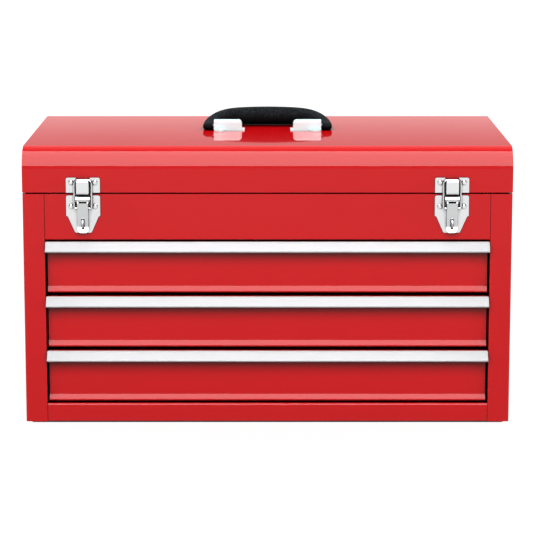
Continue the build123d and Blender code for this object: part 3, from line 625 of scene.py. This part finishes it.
def moulded_grip():
    """Points (way along the path, angle): sideways the half width times the cosine, upward half the
    height plus half the height times the sine. Cosine and sine are raised to a power with their sign
    kept, which makes the section a superellipse. Below the middle the power is smaller on the arms,
    so that their underside is flatter than the bar's."""
    low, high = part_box("handle_grip")
    arm_x, bar_y = high.x - ARM_HALF_WIDTH, high.y - BAR_HALF_WIDTH
    corners = [(-arm_x, low.y), (-arm_x, bar_y), (arm_x, bar_y), (arm_x, low.y)]
    path = rounded_line(corners, [PLAN_CORNER, PLAN_CORNER], PATH_STEP)[0]
    swell, width, top, end = grip_sections(path, low, bar_y)
    angle = np.linspace(0, 2 * np.pi, SECTION_POINTS, endpoint=False)
    cos, sin = np.cos(angle), np.sin(angle)
    power_below = UNDERSIDE_POWER + (1 - UNDERSIDE_POWER) * swell[:, None]
    power_above = 2 / (ARM_SQUARENESS + BAR_SQUARENESS_MORE * swell[:, None])
    power = np.where(sin < 0, power_below, power_above)
    out = np.sign(cos) * np.abs(cos) ** power * (width * np.sqrt(end))[:, None]
    up = np.sign(sin) * np.abs(sin) ** power * (top / 2 * end)[:, None]
    flat = path[:, None] + across(path)[:, None] * out[:, :, None]
    level = (low.z + top / 2)[:, None] + up
    rings = np.concatenate([flat, level[:, :, None]], 2)
    rows, columns = rings.shape[:2]
    points = np.concatenate([rings.reshape(-1, 3), rings[[0, -1]].mean(1)])
    ring = np.arange(columns)
    beside = (ring + 1) % columns
    this_row = np.arange(rows - 1)[:, None] * columns
    next_row = this_row + columns
    skin = np.stack([this_row + ring, this_row + beside, next_row + beside, next_row + ring], -1)
    faces = [skin.reshape(-1, 4)]
    for row, pole in ((0, rows * columns), (rows - 1, rows * columns + 1)):
        faces.append(np.stack([row * columns + ring, row * columns + beside, np.full(columns, pole)], 1))
    make_piece("moulded_grip", points, faces, "handle_grip", "handle", "grip_rubber", crease=60.0)


moulded_grip()

# %% [markdown]
# ## White ground
# The chest stands on a plain white ground. Lighting a floor until it is white would burn out the chest
# as well. So the ground is a matt grey that still takes the chest's shadow, with enough glow of its own,
# for what looks at it directly or in a mirror, to read as white. Mirrored, it is a little darker close
# to the chest, where the chest shades it, and white behind it.

# %% White ground
FLOOR_MATT = (0.10, 0.10, 0.10, 1.0)
FLOOR_GLOW = 0.93
MIRROR_GLOW = 0.74
NEAR_SHARE = 0.70


def white_ground():
    """Glow seen directly: the floor's glow near the chest, rising to 1 further out. Glow in a mirror:
    the near share of the mirror glow, rising to all of it further out and to 1 behind the chest."""
    material = bpy.data.materials.new("white_ground")
    material.use_nodes = True
    tree = material.node_tree
    tree.nodes.clear()
    start = Wire(tree)
    place = start.add("ShaderNodeTexCoord", output="Object")
    distance = place.add("ShaderNodeVectorMath", {"operation": "LENGTH"}, {0: place}, output="Value")
    depth = place.add("ShaderNodeSeparateXYZ", None, {0: place}, output="Y")
    look = start.add("ShaderNodeLightPath", output="Is Camera Ray")
    mirrored = start.add("ShaderNodeLightPath", output="Is Glossy Ray")
    through = start.add("ShaderNodeLightPath", output="Is Transmission Ray")
    direct = look * (FLOOR_GLOW + (1.0 - FLOOR_GLOW) * ease(distance, start=0.7, end=2.0))
    in_front = MIRROR_GLOW * (NEAR_SHARE + (1.0 - NEAR_SHARE) * ease(distance, start=0.5, end=1.7))
    behind = (1.0 - MIRROR_GLOW) * ease(depth, start=0.2, end=1.2)
    strength = direct + (mirrored + through) * (in_front + behind)
    matt = start.add("ShaderNodeBsdfDiffuse", None, {"Color": FLOOR_MATT})
    glow = start.add("ShaderNodeEmission", None, {"Strength": strength})
    both = start.add("ShaderNodeAddShader", None, {0: matt, 1: glow})
    start.add("ShaderNodeOutputMaterial", None, {"Surface": both})
    return material


ground = white_ground()
print("ground:", ground.name, "glows", FLOOR_GLOW, "near the chest")

# %% [markdown]
# ## Floor
# The floor is one flat sheet, so large that its edges lie outside the picture. A backdrop that curves up
# behind the chest would do as well, but from this height the camera sees nothing but floor.

# %% Floor
FLOOR_HALF = 30.0


def white_floor():
    around = [(-1.0, -1.0, 0.0), (1.0, -1.0, 0.0), (1.0, 1.0, 0.0), (-1.0, 1.0, 0.0)]
    points = FLOOR_HALF * np.array(around)
    mesh = bpy.data.meshes.new("floor")
    mesh.from_pydata(points.tolist(), [], [[0, 1, 2, 3]])
    mesh.materials.append(ground)
    floor = bpy.data.objects.new("floor", mesh)
    bpy.context.scene.collection.objects.link(floor)


white_floor()
print("floor:", 2 * FLOOR_HALF, "metres across")

# %% [markdown]
# ## Studio walls
# The gloss tells where the light was. A photograph of a real studio could light the scene, but a few
# greys by height do the same and can be set one by one. Low down at the back the studio is white, which
# the lid mirrors from its back edge forward. A darker band just above leaves the lid's front red, and
# above that the back is half bright. In front it is half bright low down and dark higher up.

# %% Studio walls
BACK_WALL = [
    (0.0, 1.0), (0.10, 1.0), (0.113, 0.66), (0.120, 0.42), (0.127, 0.28), (0.17, 0.54), (1.0, 0.60),
]
FRONT_WALL = [(0.0, 0.55), (0.12, 0.50), (0.25, 0.10), (1.0, 0.10)]


def wall_grey(up, wall):
    """Grey by height, where the height is the sine of the angle above the horizon."""
    stops = [(height, (glow,) * 3) for height, glow in wall]
    return up.add("ShaderNodeValToRGB", {"stops": stops}, {"Fac": up})


def studio_walls():
    """Brightness by direction: each wall's list gives its brightness by height, and the two run into
    each other from a little in front of the sides to a little behind them."""
    world = bpy.data.worlds.new("studio")
    world.use_nodes = True
    tree = world.node_tree
    ray = Wire(tree).add("ShaderNodeTexCoord", output="Generated")
    up = ray.add("ShaderNodeSeparateXYZ", None, {0: ray}, output="Z")
    back = ray.add("ShaderNodeSeparateXYZ", None, {0: ray}, output="Y")
    front_or_back = ease(back, start=-0.1, end=0.5)
    room = blend_colours(front_or_back, wall_grey(up, FRONT_WALL), wall_grey(up, BACK_WALL))
    tree.links.new(room.socket, tree.nodes["Background"].inputs["Color"])
    bpy.context.scene.world = world


studio_walls()
print("walls:", len(BACK_WALL), "greys behind and", len(FRONT_WALL), "in front")

# %% [markdown]
# ## Lamps
# A long softbox makes the sharp pale band on the lid's round edge, so the gloss has to see it. It runs
# from behind the camera, a little above it, to straight overhead. It is only as wide as that band needs,
# because from straight behind the lid mirrors it too. The even light on the matt colours comes from
# large panels in front, behind and at both sides. One set of lamps could do both, but keeping the two
# apart lets each be set by itself.

# %% Lamps
def lamp(name, near, far, width, glow, turn=0.0, mirrored=False, matt=True):
    """Lit panel between two edges, near and far, each (y, z). The turn swings it about the chest. Its
    power is the glow times pi times its area, so that the panel itself is as bright as the glow."""
    along = np.subtract(far, near)
    length = float(np.linalg.norm(along))
    light = bpy.data.lights.new(name, "AREA")
    light.shape = "RECTANGLE"
    light.size = width
    light.size_y = length
    light.energy = glow * math.pi * width * length
    panel = bpy.data.objects.new(name, light)
    away, height = np.add(near, far) / 2
    panel.location = (-away * math.sin(turn), away * math.cos(turn), height)
    panel.rotation_euler = (math.atan2(along[1], along[0]), 0.0, turn)
    panel.visible_camera = False
    panel.visible_glossy = mirrored
    panel.visible_diffuse = matt
    bpy.context.scene.collection.objects.link(panel)


lamp("overhead_softbox", (-4.5, 0.90), (0.31, 3.3), width=1.5, glow=5.0, mirrored=True, matt=False)
lamp("front_light", (-3.35, 1.1), (-2.15, 2.85), width=4.0, glow=3.7)
lamp("back_light", (1.75, 3.1), (2.85, 1.95), width=4.0, glow=6.6)
for side, turn in (("left", -math.pi / 2), ("right", math.pi / 2)):
    lamp(side + "_light", (-3.0, 0.1), (-2.8, 1.6), width=2.4, glow=2.4, turn=turn)

# %% [markdown]
# ## Camera
# The camera could be moved about until the picture looks right, but the chest itself tells where it
# stood. Its sides run together a little toward the back, which fixes the distance: about two and a half
# metres, a little above the lid, looking down ten degrees.

# %% Camera
PICTURE_WIDTH = 535
FOCAL_LENGTH_IN_PIXELS = 2316.6
SENSOR_WIDTH = 36.0
CAMERA_PLACE = (0.0, -2.5784, 0.6107)
CAMERA_TILT = 10.284


def photo_camera():
    """Camera whose focal length in pixels is turned into millimetres on the sensor."""
    lens = bpy.data.cameras.new("photo_camera")
    lens.sensor_width = SENSOR_WIDTH
    lens.lens = FOCAL_LENGTH_IN_PIXELS / PICTURE_WIDTH * SENSOR_WIDTH
    camera = bpy.data.objects.new("photo_camera", lens)
    camera.location = CAMERA_PLACE
    camera.rotation_euler = (math.radians(90.0 - CAMERA_TILT), 0.0, 0.0)
    bpy.context.scene.collection.objects.link(camera)
    bpy.context.scene.camera = camera
    return camera


camera = photo_camera()
bpy.context.scene.view_settings.view_transform = "Standard"
print("lens:", round(camera.data.lens, 1), "mm")
